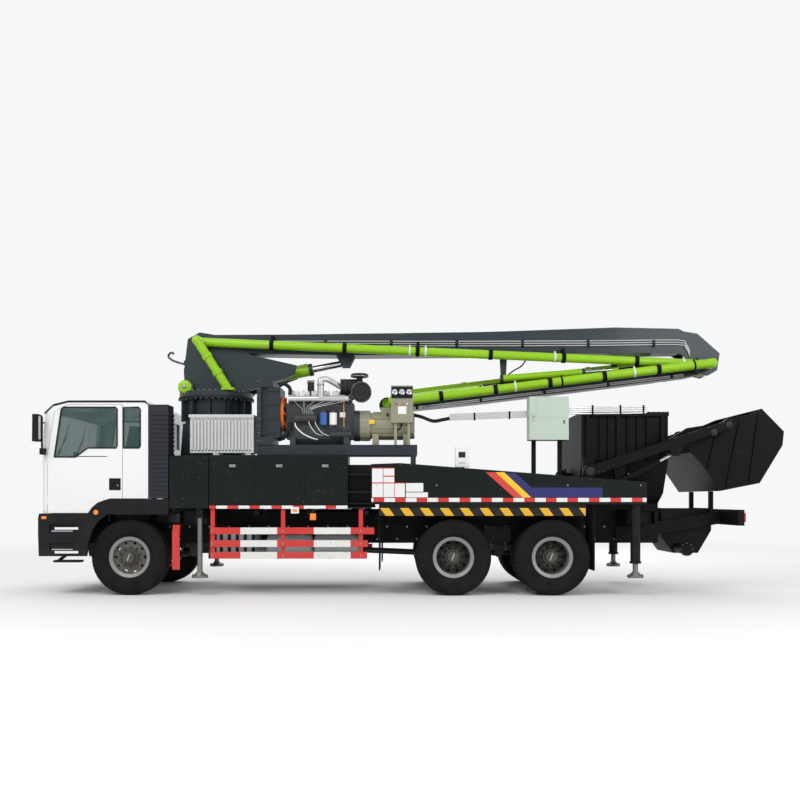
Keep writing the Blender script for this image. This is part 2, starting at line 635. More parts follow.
# Red and white by turns along the foot of the lockers
LOCKER_EDGES = (-2.905, -2.807, -2.651, -2.494, -2.338, -2.193, -2.031, -1.881, -1.725, -1.57, -1.264, -1.116,
    -0.955)
# Blank labels as x0, x1, z0, z1: these have a red edge round them, the plain ones don't
EDGED = [(-0.612, -0.453, 1.598, 1.807), (-0.452, -0.294, 1.693, 1.807), (-0.452, -0.294, 1.598, 1.692),
    (-0.612, -0.452, 1.39, 1.597), (-0.451, -0.293, 1.39, 1.597), (-0.292, -0.143, 1.39, 1.597)]
PLAIN = [(-0.132, 0.112, 1.47, 1.591), (-0.132, 0.177, 1.39, 1.46)]


def make_markings():
    top, low = 1.745, 1.388
    for name, outline, material in (
            ("stripe_red", [(0.992, top), (1.392, low), (1.512, low), (1.128, top)], "red"),
            ("stripe_yellow", [(1.132, top), (1.516, low), (1.636, low), (1.252, top)], "yellow"),
            ("stripe_navy", [(1.256, top), (1.64, low), (2.639, low), (2.639, 1.528), (1.64, 1.528),
                             (1.411, top - 0.012)], "navy"),
            ("strip_panel", oblong(-0.62, 3.26, 1.326, 1.383), "red_white"),
            ("hazard_strip", [(-0.505, 1.131), (-0.505, 1.24), (2.4, 1.24), (2.4, 1.131)], "hazard")):
        for side, word in SIDES:
            part = Part(f"{name}_{word}", material, "deck_green")
            part.prism(outline, side * PAINT_Y, side * (PAINT_Y + 0.0014)).done(0.0005, segments=1)
    for side, word in SIDES:
        part = Part("locker_strip_" + word, "label", "deck_green")
        for k, (x0, x1) in enumerate(zip(LOCKER_EDGES, LOCKER_EDGES[1:])):
            part.tone("label" if k % 2 else "guard_red")
            part.prism(oblong(x0, x1 - 0.001, 1.231, 1.274), side * PAINT_Y, side * (PAINT_Y + 0.0014))
        part.done(0)
    for side, word in SIDES:
        part = Part("labels_" + word, "label", "deck_green")
        for tone, labels in (("red", EDGED), ("label", PLAIN)):
            for label in labels:
                part.tone(tone).prism(oblong(*label), side * PAINT_Y, side * (PAINT_Y + 0.0013))
        for x0, x1, z0, z1 in EDGED:
            part.tone("label").prism(oblong(x0 + 0.004, x1 - 0.004, z0 + 0.004, z1 - 0.012),
                side * (PAINT_Y + 0.0012), side * (PAINT_Y + 0.002))
        part.done(0)
    part = Part("plates", "label", "cab_white")
    part.box((-5.3285, -0.26, 0.66), (-5.3155, 0.26, 0.77)).box((4.652, 0.3, 1.03), (4.66, 0.66, 1.19)).done(0.003)


# ---- Cab details

DOOR_WINDOW = [(-5.094, 1.959), (-4.794, 1.959), (-4.62, 2.086), (-4.218, 2.086), (-4.206, 2.12), (-4.206, 2.635),
    (-4.228, 2.662), (-4.96, 2.662), (-4.994, 2.635)]
QUARTER_WINDOW = [(-4.118, 2.086), (-3.896, 2.086), (-3.88, 2.11), (-3.88, 2.635), (-3.904, 2.662), (-4.118, 2.662)]
# Dark edge that runs down the screen's pillar, along the roof and over the rear corner
ROOF_EDGE = [(-5.232, 2.59), (-5.105, 2.706), (-4.898, 2.758), (-3.812, 2.758), (-3.772, 2.718)]
ROOF_EDGE_H = 0.03
WINDOW_Y = 1.2385


def closed_path(points, y):
    return [(x, y, z) for x, z in points + points[:2]]


def make_cab_details():
    for side, word in SIDES:
        y, out = side * WINDOW_Y, (0, side, 0)
        seal = Part("door_seal_" + word, "hose", "skirt_plastic", "door_" + word)
        seal.tube(closed_path(DOOR_WINDOW, y), 0.011, 6)
        seal.box((-4.9, y - side * 0.002, 1.962), (-4.35, y + side * 0.004, 1.972))
        seal.tone("bolt").rod((-4.2, side * 1.224, 1.56), (-4.2, y, 1.56), 0.013).done(0)
        seal = Part("quarter_seal_" + word, "hose", "skirt_plastic")
        seal.tube(closed_path(QUARTER_WINDOW, y), 0.011, 6)
        seal.prism(ROOF_EDGE + [(x, z - ROOF_EDGE_H) for x, z in ROOF_EDGE[::-1]], side * 1.2402,
            side * 1.2425).done(0)
        face = Part("mirror_glass_" + word, "chrome", "lens")
        face.box((-5.2445, side * 1.3, 2.2), (-5.2425, side * 1.425, 2.52))
        face.tone("plastic").rod((-5.25, side * 1.31, 2.44), (-5.24, side * 1.236, 2.44), 0.011, 10).done()
        trim = Part("cab_trim_" + word, "alloy", "skirt_plastic")
        for z in (0.648, 0.908):
            trim.box((-5.13, side * 1.226, z), (-4.83, side * 1.249, z + 0.012))
            trim.boxes((-5.11, side * 1.228, z + 0.012), (-5.098, side * 1.247, z + 0.017), 9, (0.032, 0, 0))
        trim.tone("lens_orange").box((-5.27, side * SEAT_Y, 1.085), (-5.2, side * 1.258, 1.125))
        trim.tone("plastic").studs([(x, side * SEAT_Y, 1.1) for x in (-4.99, -4.72, -4.45)], out, 0.007, 0.006)
        trim.done(0.002)
    grille = Part("grille", "plastic", "skirt_plastic")
    for z in (1.333, 1.423, 1.513, 1.603, 1.693):
        grille.box((-5.297, -0.617, z), (-5.285, 0.617, z + 0.036))
        grille.boxes((-5.303, -0.57, z), (-5.285, -0.558, z + 0.036), 13, (0, 0.094, 0))
    grille.tone("hose").box((-5.3225, -0.8, 0.9), (-5.318, 0.8, 1.06))
    grille.boxes((-5.33, -0.79, 0.915), (-5.3195, 0.79, 0.923), 6, (0, 0, 0.025))
    grille.box((-5.306, -1.03, 1.845), (-5.298, 1.03, 1.925))
    for y in (-0.62, 0.12):
        grille.tube([(-5.312, y, 1.9), (-5.318, y + 0.02, 1.96), (-5.279, y + 0.4, 2.33)], 0.008)
        grille.tube([(-5.298, y + 0.1, 2.02), (-5.268, y + 0.46, 2.5)], 0.006, 6)
    grille.done(0.0015)
    lamp = Part("headlamp_detail", "chrome", "lens")
    bowl = [(0.052, 0), (0.055, 0.004), (0.048, 0.005), (0.03, 0.001), (0.012, 0.0)]
    for side in (LEFT, RIGHT):
        for y in (0.86, 0.99):
            lamp.lathe((-5.331, side * y, 1.015), FORWARD, bowl, 28)
        lamp.tone("lens_orange").box((-5.336, side * 0.775, 0.96), (-5.331, side * 0.8, 1.07)).tone("chrome")
        lamp.lathe((-5.316, side * 0.93, 0.72), FORWARD, [(0.06, 0), (0.06, 0.012), (0.05, 0.014), (0.02, 0.01)],
            28)
    for side in (LEFT, RIGHT):
        for y, tone in ((0.89, "lens_red"), (1.005, "lens_orange"), (1.12, "lens_clear")):
            lamp.tone(tone).cap((4.6855, side * y, 1.105), REARWARD, 0.046, 0.006, 0.038, 0.011, 24)
    lamp.done()


# ---- Deck, lockers and running gear

LOCKER_DOORS = (-2.91, -2.25, -1.59, -0.95)
TANK_Y, TANK_Z = -0.66, 0.7


def make_deck_details():
    for side, word in SIDES:
        face, out = side * SEAT_Y, (0, side, 0)
        top = 1.99 if side == LEFT else 1.7
        part = Part("locker_fittings_" + word, "bolt", "deck_green")
        for a, b in zip(LOCKER_DOORS, LOCKER_DOORS[1:]):
            mid = (a + b) / 2
            part.tone("bolt").box((mid - 0.045, side * 1.238, top - 0.175), (mid + 0.045, face, top - 0.135))
            part.rod((mid, side * 1.236, top - 0.155), (mid, side * 1.2525, top - 0.155), 0.012)
            part.tone("green_black")
            for x in (a + 0.12, b - 0.12):
                part.box((x - 0.05, face, 1.292), (x + 0.05, side * 1.2555, 1.325))
                part.rod((x - 0.052, side * 1.2555, 1.328), (x + 0.052, side * 1.2555, 1.328), 0.007, 10)
            part.studs(grid((a + 0.045, b - 0.045), face, (top - 0.08, (top + 1.29) / 2, 1.31)), out, 0.006, 0.005)
        part.done()
        part = Part("marker_lamps_" + word, "lens_orange", "lens")
        for x, z, wide, high, tone in ((-1.6965, 1.208, 0.056, 0.044, "label"),
                (-1.4425, 1.117, 0.042, 0.046, "lens_orange")):
            part.tone("plastic").box((x - 0.02, side * 1.238, z), (x + 0.02, side * 1.2519, 1.2298))
            part.tone(tone).box((x - wide, side * 1.2518, z - high), (x + wide, side * 1.26, z + high))
            part.tone("lens_orange").box((x - wide * 0.6, side * 1.2595, z - high * 0.5),
                (x + wide * 0.6, side * 1.2635, z + high * 0.35))
        part.done(0.003)
        part = Part("guard_bolts_" + word, "bolt", "guard_red")
        part.bolts(grid((-2.865, -1.87, -0.77), side * 1.2435, (0.57, 0.737, 0.917)), out, 0.009, 0.007).done(0)
        part = Part("panel_bolts_" + word, "bolt", "deck_green")
        part.bolts(grid((-0.54, 0.3, 1.24, 2.15, 3.18), face, (1.36, 1.56)), out, 0.008, 0.006).done(0)
        part = Part("rail_bolts_" + word, "bolt", "frame_black")
        part.bolts([(-4.7 + i * 0.148, side * 0.4295, 0.955 if i % 2 else 0.77) for i in range(56)], out, 0.01,
            0.009)
        # Spring bolts at the front axle and between the rear ones
        for x0, y, z0, z1 in ((-4.06, side * 0.405, 0.44, 0.56), (1.24, side * 0.515, 0.6, 0.72)):
            for x in (x0 - 0.11, x0 + 0.11):
                for dy in (-0.055, 0.055):
                    part.rod((x, y + dy, z0), (x, y + dy, z1), 0.01, 8)
        part.done(0)
    part = Part("tank_fittings", "bolt", "tank_grey")
    for x in (-2.15, -1.45):
        mid = x + 0.31
        for end, out in ((x, -1), (x + 0.62, 1)):
            part.tone("tank").lathe((end, TANK_Y, TANK_Z), (out, 0, 0), [(0.138, 0), (0.13, 0.012), (0.1, 0.026),
                (0.05, 0.034)], 32)
            part.tone("bolt").bolt((end + out * 0.034, TANK_Y, TANK_Z), (out, 0, 0), 0.012, 0.014)
        part.rod((mid, TANK_Y, 0.562), (mid, TANK_Y, 0.535), 0.012, 12)
        part.tone("hose").hose([(mid, TANK_Y, 0.838), (mid, -0.62, 0.875), (mid, -0.52, 0.885),
            (mid, -0.432, 0.885)], 0.007, 6)
    part.tone("plastic").boxes((-2.81, -0.9925, 0.56), (-2.76, -0.9895, 0.86), 5, (0.115, 0, 0))
    part.box((-2.855, -0.996, 0.868), (-2.295, -0.425, 0.906)).done(0.002)
    part = Part("flaps", "rubber", "flap_rubber")
    for x in (-0.5145, 2.5315):
        for side in (LEFT, RIGHT):
            part.box((x, side * 0.615, 0.36), (x + 0.006, side * 1.225, 1.25))
            part.boxes((x - 0.003, side * 0.66 - 0.008, 0.38), (x, side * 0.66 + 0.008, 1.2), 7,
                (0, side * 0.085, 0))
    part.done()
    part = Part("cooler_fittings", "hose", "cooler_silver")
    for x in (-3.05, -2.45):
        part.tone("hose").hose([(x, -0.778, 2.42), (x, -0.7, 2.44), (x + 0.05, -0.62, 2.3), (x + 0.05, -0.6, 2.06)],
            0.018)
        part.tone("bolt").rod((x, -0.782, 2.42), (x, -0.765, 2.42), 0.026, 6)
    part.studs(grid((-3.178, -2.288), -1.1895, (2.06, 2.27, 2.48)), LEFTWARD, 0.007, 0.005).done(0)


# ---- Generating set

GENSET_Y = -0.85
FAN = (-1.916, GENSET_Y, 2.6)
ALTERNATOR = (0, GENSET_Y, 2.43)
CLEANER = (-0.8, -0.94)


def make_genset_details():
    y = GENSET_Y
    part = Part("fan_guard", "orange", "engine_metal")
    part.lathe((-1.921, y, 2.6), REARWARD, ridge(0.234, 0.249, 0, 0, 0.035, 0.035), 48).tone("bolt")
    for r in (0.07, 0.11, 0.15, 0.19, 0.225):
        ring = round_about(FAN, 0, r, 40)
        part.tube(ring + ring[:1], 0.0025, 5)
    for a, b in zip(round_about(FAN, 0, 0.03, 8), round_about(FAN, 0, 0.236, 8)):
        part.rod(a, b, 0.003, 5)
    part.done(0)
    part = Part("radiator_fittings", "hose", "frame_black")
    part.hose([(-1.955, -1.0, 2.99), (-1.88, -1.01, 3.02), (-1.8, -1.0, 2.96), (-1.8, -0.99, 2.86)], 0.027, 12)
    part.hose([(-1.955, -1.02, 2.22), (-1.88, -1.06, 2.25), (-1.8, -1.07, 2.36), (-1.78, -1.02, 2.45)], 0.03, 12)
    part.tone("bolt").cap((-2.13, y, 3.064), UPWARD, 0.045, 0.02, 0.038, 0.03, 20)
    part.studs(grid((-2.235, -2.205), -1.1495, [2.2 + k * 0.105 for k in range(9)]), LEFTWARD, 0.006, 0.005)
    part.tone("axle").boxes((-2.246, -1.1, 2.26), (-2.2405, -1.096, 2.95), 26, (0, 0.0195, 0))
    part.boxes((-2.2, -1.1515, 2.3), (-1.93, -1.149, 2.312), 4, (0, 0, 0.2)).done(0)
    part = Part("engine_side", "cast_blue", "engine_metal")
    for i in range(6):
        x = -1.8 + i * 0.158
        cover = [(x + 0.012 * math.cos(a) + math.copysign(0.018, math.cos(a)),
            2.34 + 0.055 * math.sin(a)) for a in angles(16)]
        part.tone("cast_blue").prism(cover, -1.028, -1.019).tone("bolt")
        part.studs(grid((x - 0.05, x + 0.05), -1.0195, (2.4, 2.28)), LEFTWARD, 0.006, 0.006)
        part.bolts([(x + 0.035, -0.94, 2.9245), (x + 0.035, -0.76, 2.9245)], UPWARD, 0.008, 0.012)
        part.tone("alloy").hose([(-1.6 + i * 0.032, -1.075, 2.56), (-1.62 + i * 0.035, -1.1, 2.66),
            (x + 0.06, -1.085, 2.78), (x + 0.07, -0.985, 2.86)], 0.0035, 5, 5)
        part.rod((x + 0.07, -0.992, 2.86), (x + 0.07, -0.962, 2.872), 0.009, 6)
    part.tone("cast").boxes((-1.845, -1.0235, 2.245), (-0.885, -1.0195, 2.267), 2, (0, 0, 0.455))
    part.tone("bolt").studs(grid([-1.82 + i * 0.07 for i in range(14)], -1.0225, (2.256, 2.711)), LEFTWARD, 0.005,
        0.005)
    part.tone("label").box((-1.08, -1.0215, 2.54), (-1.0, -1.0195, 2.61))
    for x, tone in ((-1.31, "filter_blue"), (-1.17, "label")):
        part.tone(tone).lathe((x, -1.075, 2.418), UPWARD, [(0.04, 0), (0.0535, 0.01), (0.0535, 0.178),
            (0.05, 0.182)], 28)
    for x in (-1.52, -1.43):
        part.tone("alloy").hose([(x, -1.085, 2.5), (x + 0.02, -1.12, 2.42), (x + 0.1, -1.11, 2.31),
            (x + 0.2, -1.06, 2.27)], 0.008)
    part.tone("label").hose([(-1.72, -1.03, 2.5), (-1.7, -1.09, 2.4), (-1.6, -1.12, 2.3), (-1.48, -1.1, 2.24),
        (-1.4, -1.03, 2.22)], 0.01)
    part.tone("alloy").hose([(-1.35, -1.07, 3.02), (-1.35, -1.06, 3.07), (-1.27, -1.02, 3.085),
        (-1.15, -0.94, 3.03), (-1.075, -0.912, 2.985)], 0.04, 14)
    part.tone("bolt").cap((-1.35, -1.07, 2.985), UPWARD, 0.052, 0.018, 0.047, 0.02, 24)
    part.tone("yellow").hose([(-1.02, -1.03, 2.4), (-1.02, -1.045, 2.6), (-1.02, -1.04, 2.78)], 0.005, 6)
    part.tone("axle").cap((-1.53, -0.65, 3.075), UPWARD, 0.056, 0.012, 0.052, 0.014, 24)
    part.box((-1.585, -0.705, 3.092), (-1.475, -0.6, 3.098), turn=(14, "X", (-1.53, -0.705, 3.092)))
    for k in range(5):
        part.lathe((-1.075 + k * 0.062, -0.91, 2.985), REARWARD, ridge(0.1155, 0.119, 0, 0.006, 0.016, 0.022), 32)
    part.tone("bolt").cap((-0.769, -0.91, 2.985), REARWARD, 0.03, 0.012, 0.012, 0.02, 12).done()
    part = Part("air_cleaner", "rim_dark", "engine_metal")
    part.lathe((-0.77, -0.93, 2.9), LEFTWARD, [(0.135, 0), (0.143, 0.01), (0.143, 0.15), (0.132, 0.158),
        (0.112, 0.16), (0.106, 0.15), (0.05, 0.15), (0.042, 0.164)], 44)
    part.rod((*CLEANER, 3.03), (*CLEANER, 3.13), 0.045, 24)
    part.lathe((*CLEANER, 3.115), UPWARD, [(0.075, 0), (0.128, 0.012), (0.128, 0.04), (0.11, 0.058), (0.04, 0.064)],
        40)
    part.tone("bolt")
    part.lathe((-0.77, -1.06, 2.9), LEFTWARD, ridge(0.1432, 0.1465, 0, 0.002, 0.014, 0.016), 44)
    part.lathe((*CLEANER, 3.126), UPWARD, ridge(0.128, 0.1305, 0, 0.002, 0.01, 0.012), 40).done()
    belt = Part("drive_belt", "hose", "skirt_plastic")
    for at, z, r in ((y, 2.36, 0.085), (y, 2.6, 0.06), (-1.02, 2.7, 0.038)):
        belt.tone("bolt").lathe((-1.884, at, z), REARWARD, [(r * 0.5, -0.002), (r, -0.002), (r - 0.006, 0.008),
            (r, 0.018), (r * 0.5, 0.018)], 28)
    path = ((-0.765, 2.36), (-0.79, 2.3), (-0.85, 2.274), (-0.91, 2.3), (-0.94, 2.37), (-1.055, 2.69),
        (-1.045, 2.728), (-1.01, 2.738), (-0.83, 2.659), (-0.792, 2.62), (-0.79, 2.58), (-0.765, 2.36))
    belt.tone("hose").tube([(-1.876, at, z) for at, z in path], 0.006, 6).done(0)
    part = Part("alternator_detail", "beige", "alternator_beige")
    for a in angles(18):
        part.box((-0.785, y - 0.008, 2.646), (-0.66, y + 0.008, 2.651), turn=(math.degrees(a), "X", ALTERNATOR))
    part.tone("axle").boxes((-0.075, y - 0.12, 2.33), (-0.006, y + 0.12, 2.342), 7, (0, 0, 0.034))
    part.tone("bolt").bolts(round_about((-0.011, y, 2.43), 0, 0.172, 12), REARWARD, 0.008, 0.008)
    part.bolts([(x, y + dy, 2.6795) for x in (-0.48, -0.18) for dy in (-0.11, 0.11)], UPWARD, 0.008, 0.008)
    part.tone("yellow").box((-0.66, -1.0695, 2.44), (-0.58, -1.0665, 2.5))
    eye = [(-0.33, y + 0.035 * math.sin(a), 2.715 - 0.035 * math.cos(a)) for a in angles(16) + [math.tau]]
    part.tone("bolt").tube([(-0.33, y, 2.68)] + eye, 0.008).done()
    part = Part("control_panel", "cast", "alternator_beige")
    part.tone("plastic").box((-0.335, -1.1345, 2.8), (-0.04, -1.1295, 2.965))
    for x, needle in ((-0.29, 35), (-0.188, -25), (-0.086, -25)):
        dial = (x, -1.144, 2.89)
        part.tone("chrome").lathe((x, -1.1415, 2.89), LEFTWARD, [(0.037, 0), (0.04, 0.003), (0.038, 0.006),
            (0.034, 0.004)], 32)
        part.tone("label").lathe((x, -1.1422, 2.89), LEFTWARD, [(0.034, 0), (0.034, 0.0015)], 32).tone("hose")
        for k in range(9):
            part.box((x - 0.0012, -1.1445, 2.914), (x + 0.0012, -1.1436, 2.921), turn=(k * 32.5 - 130, "Y", dial))
        part.tone("lens_red").box((x - 0.0014, -1.1455, 2.884), (x + 0.0014, -1.1445, 2.914),
            turn=(needle, "Y", dial))
    part.tone("label").box((-0.245, -1.1365, 2.575), (-0.125, -1.1345, 2.685))
    for k, tone in enumerate(("lens_red", "lens_orange", "bolt", "lens_clear")):
        part.tone(tone).cap((-0.27 + k * 0.052, -1.1355, 2.72), LEFTWARD, 0.013, 0.008, 0.01, 0.012, 18)
    part.tone("hose").hose([(-0.2, -1.06, 2.456), (-0.2, -1.05, 2.4), (-0.26, -1.03, 2.36), (-0.34, -1.02, 2.42),
        (-0.4, -0.985, 2.6)], 0.013).done()
    part = Part("conduits", "cooler", "cabinet_grey").tone("hose")
    path = ((-0.01, -0.99, 2.56), (0.1, -1.02, 2.53), (0.26, -1.05, 2.47), (0.4, -1.06, 2.49), (0.5, -1.06, 2.508))
    for dy, dz in ((0.0, 0.0), (0.03, 0.028)):
        part.hose([(x, at + dy, z + dz) for x, at, z in path], 0.013)
    part.tone("cooler")
    for k in range(4):
        part.rod((0.49, -1.06, 2.5 + k * 0.025), (1.6165, -1.06, 2.545 + k * 0.025), 0.0105, 10)
        z = 2.588 + k * 0.029
        part.hose([(2.168, -1.05, z), (2.3, -1.04, z + 0.002), (2.45, -1.004, z + 0.006), (2.8, -1.004, z + 0.01),
            (3.2, -1.004, z + 0.014), (3.33, -1.004, z + 0.022)], 0.012, 10, 4)
    part.tone("frame_black").boxes((0.838, -1.074, 2.49), (0.862, -1.046, 2.602), 2, (0.5, 0, 0.02))
    for x in (2.55, 2.95, 3.28):
        part.box((x - 0.012, -1.018, 2.57), (x + 0.012, -0.984, 2.715))
        part.box((x - 0.012, -0.99, 2.57), (x + 0.012, -0.95, 2.585))
    part.tone("axle").box((0.615, -1.1625, 1.955), (0.712, -1.1597, 2.036))
    part.box((0.62, -1.162, 1.875), (0.71, -1.1597, 1.883)).done(0)
    part = Part("cabinet_fittings", "bolt", "cabinet_grey", "cabinet_door")
    part.tone("cabinet").box((1.712, -1.214, 2.522), (2.16, -1.2097, 2.808))
    part.tone("axle").rod((2.105, -1.2095, 2.468), (2.105, -1.217, 2.468), 0.013)
    part.box((2.099, -1.219, 2.43), (2.111, -1.2165, 2.475))
    part.tone("bolt").rod((1.671, -1.2255, 2.53), (1.671, -1.232, 2.53), 0.011).done()


# ---- Boom details

SLEW_X, SLEW_BOLTS_R = -3.05, 0.525
ELBOW_AT = (-3.45, 3.055)


def pipe_band(part, at, axis, tone):
    """A clamp band round a pipe, with its ear on top."""
    r = PIPE_R + 0.006
    part.tone(tone).lathe(at, axis, ridge(PIPE_R, r, -0.014, -0.012, 0.012, 0.014), 36)
    up = Vector((0, 0, r))
    part.box(at + up + Vector((-0.009, -0.012, -0.004)), at + up + Vector((0.009, 0.012, 0.022)))


def make_boom_details():
    ring = Part("slew_bolts", "bolt", "boom_black", "turret")
    ring.bolts(round_about((SLEW_X, 0.0, 2.9895), 2, SLEW_BOLTS_R, 36), UPWARD, 0.014, 0.014).done(0)
    ring = Part("slew_gear", "bolt", "frame_black").tone("axle")
    for a in angles(96):
        ring.box((-2.488, -0.0075, 2.879), (-2.4755, 0.0075, 2.909), turn=(math.degrees(a), "Z", (SLEW_X, 0, 0)))
    ring.tone("bolt").bolts(round_about((SLEW_X, 0.0, 2.8775), 2, SLEW_BOLTS_R, 36, 0.5), DOWNWARD, 0.014,
        0.018).done(0)
    caps = Part("turret_fittings", "bolt", "boom_black", "turret")
    for x, y, z, r in ((-3.25, 0.2505, 3.74, 0.072), (-2.8, 0.2445, 3.12, 0.058)):
        for side in (LEFT, RIGHT):
            out = (0, side, 0)
            caps.tone("boom_dark").cap((x, side * y, z), out, r, 0.005, r * 0.9, 0.0068)
            caps.studs(round_about((x, side * (y + 0.0055), z), 1, r * 0.66, 4, 0.5), out, 0.006, 0.004)
    x, z = ELBOW_AT
    caps.tone("lime").lathe((x, -0.3, z), LEFTWARD, [(0.105, 0), (0.105, 0.1), (0.085, 0.115), (0.05, 0.118)], 8,
        start=math.pi / 8)
    caps.tone("bolt").cap((x, -0.418, z), LEFTWARD, 0.03, 0.012, 0.02, 0.018, 16)
    caps.tone("boom_black").lathe((x, -0.246, z), LEFTWARD, [(0.12, 0), (0.12, 0.055)], 32)
    caps.hose([(-3.498, -0.2, 3.42), (-3.6, -0.2, 3.45), (-3.7, -0.2, 3.49), (-3.745, -0.2, 3.55),
        (-3.7, -0.2, 3.6), (-3.66, -0.2, 3.575)], 0.016, 10)
    caps.boxes((-3.5, -0.247, 3.3), (-3.44, -0.2445, 3.35), 2, (0, 0, 0.12)).tone("hose")
    for k, back in enumerate((0.0, 0.03, 0.06)):
        y = 0.262 + back * 0.3
        caps.hose([(-2.55 + 0.02 * k, 0.26 + back * 0.3, 2.993), (-2.56, y, 3.15), (-2.7 - back, y, 3.4),
            (-2.95 - back, y, 3.6)], 0.011)
    caps.done()

    arm = Part("arm_1_fittings", "alloy", "boom_black", "arm_1")
    for z in (3.7, 3.735, 3.77):
        arm.hose([(x, -0.204, z + dz) for x, dz in (
            (-2.45, 0), (-1.0, 0), (1.0, 0), (3.0, 0.01), (4.0, 0.02), (4.14, -0.04), (4.2, -0.16))], 0.0105, 8, 3)
    for i in range(7):
        x = -2.35 + i * 1.0
        arm.tone("plastic").box((x - 0.022, -0.2185, 3.684), (x + 0.022, -0.1897, 3.79))
        arm.tone("bolt").stud((x, -0.2183, 3.7525), LEFTWARD, 0.006, 0.006)
    for side in (LEFT, RIGHT):
        out = (0, side, 0)
        arm.tone("boom_dark").cap((4.45, side * 0.1955, 3.4), out, 0.075, 0.006, 0.068, 0.008)
        arm.studs(round_about((4.45, side * 0.203, 3.4), 1, 0.05, 6), out, 0.006, 0.005)
        arm.tone("boom_black").prism([(-2.9, 3.862), (3.95, 3.955), (3.95, 3.943), (-2.9, 3.85)], side * 0.1897,
            side * 0.1935)
    arm.tone("sign_blue").prism(oblong(0.3, 0.86, 3.64, 3.675), -0.1925, -0.1895).done()
    arm = Part("pipe_1_bands", "label", "pipe_lime", "arm_1")
    for x, tone in ((-0.07, "label"), (0.17, "label"), (2.12, "label"), (4.06, "label"), (4.26, "frame_black")):
        pipe_band(arm, ROOT_1 + ALONG_1 * ((x - ROOT_1.x) / ALONG_1.x), ALONG_1, tone)
    arm.done()
    ram = Part("ram_2_fittings", "boom_black", "boom_black", "arm_1")
    a = Vector((1.3, -0.275, 3.19))
    d = (Vector((3.09, -0.275, 3.3296)) - a).normalized()
    for s, r in ((0.02, 0.06), (1.26, 0.062)):
        ram.lathe(a + d * s, d, ridge(r - 0.006, r, -0.02, -0.015, 0.02, 0.028), 28)
    ram.tone("chrome").rod(a + d * 1.3, a + d * 1.7, 0.0347, 24)
    ram.tone("hose").hose([a + Vector(p) for p in (
        (0.12, -0.02, 0.052), (0.2, 0.01, 0.12), (0.35, 0.05, 0.22), (0.45, 0.075, 0.42))], 0.011).done()

    arm = Part("arm_2_fittings", "alloy", "boom_black", "arm_2")
    for z in (-0.085, -0.11):
        arm.tube([on_fold(KNEE_B, x, -0.1635, z) for x in (0.3, 1.5, 2.8, 4.1, 4.55)], 0.0095)
    for i in range(5):
        c = on_fold(KNEE_B, 0.45 + i * 0.98, 0, 0)
        arm.tone("plastic").box((c.x - 0.02, -0.1765, c.z - 0.122), (c.x + 0.02, -0.1497, c.z - 0.072),
            turn=(-7, "Y", c))
    for s, r in ((0.34, 0.055), (1.44, 0.057)):
        arm.tone("boom_black").lathe(on_fold(KNEE_B, s, -0.225, 0.07), ALONG, ridge(r - 0.006, r, -0.015, -0.01,
            0.02, 0.026), 28)
    arm.tone("bolt").cap(on_fold(KNEE_B, 0, 0.4355, 0), (0, 1, 0), 0.07, 0.008, 0.062, 0.011)
    arm.studs([on_fold(KNEE_B, x, -0.437, 0.002) for x in (0.6, 2.4, 4.2)], UPWARD, 0.007, 0.008)
    for sign in (oblong(0.6, 1.16, -0.035, 0.012), oblong(1.95, 2.25, 0.03, 0.1)):
        corners = [on_fold(KNEE_B, x, 0, z) for x, z in sign]
        arm.tone("sign_blue").prism([(c.x, c.z) for c in corners], -0.1525, -0.1497)
    arm.done()
    arm = Part("pipe_2_bands", "label", "pipe_lime", "arm_2")
    for x, tone in ((1.93, "label"), (2.63, "frame_black"), (3.72, "label"), (4.62, "frame_black")):
        pipe_band(arm, on_fold(KNEE_B, x, 0, 0) + PIPE_2, ALONG, tone)
    arm.done()
    arm = Part("arm_4_fittings", "alloy", "boom_black", "arm_4")
    start = KNEE_C - ALONG * 4.3
    for z in (0.02, -0.01):
        arm.tube([on_fold(start, x, 0.6625, z) for x in (0.4, 1.5, 2.8, 4.0)], 0.0095)
    for i in range(4):
        c = on_fold(start, 0.6 + i * 1.05, 0, 0)
        arm.tone("plastic").box((c.x - 0.02, 0.6497, c.z - 0.025), (c.x + 0.02, 0.6765, c.z + 0.035),
            turn=(-7, "Y", c))
    arm.done()
    arm = Part("arm_3_fittings", "bolt", "boom_black", "arm_3")
    arm.cap(KNEE_C + Vector((0, 0.6555, 0)), (0, 1, 0), 0.062, 0.008, 0.054, 0.011)
    arm.cap(KNEE_C + Vector((0, 0.1905, 0)), LEFTWARD, 0.062, 0.006, 0.054, 0.008).done()
    lift = Part("lift_fittings", "boom_black", "pipe_lime", "lift_barrel")
    foot = Vector((-2.8, 0, 3.12))
    d = (Vector((-1.05, 0, 3.47)) - foot).normalized()
    for s, r in ((0.12, 0.093), (1.225, 0.096)):
        lift.lathe(foot + d * s, d, ridge(r - 0.008, r, -0.02, -0.015, 0.03, 0.038), 36)
    up = Vector((-d.z, 0, d.x))
    lift.tone("alloy").tube([foot + d * s + up * h for s, h in ((0.16, 0.099), (0.5, 0.1), (1.2, 0.1))], 0.009)
    lift.done()


# ---- Rear: mixer, hopper, skip, outriggers

LEG_Y = 1.14


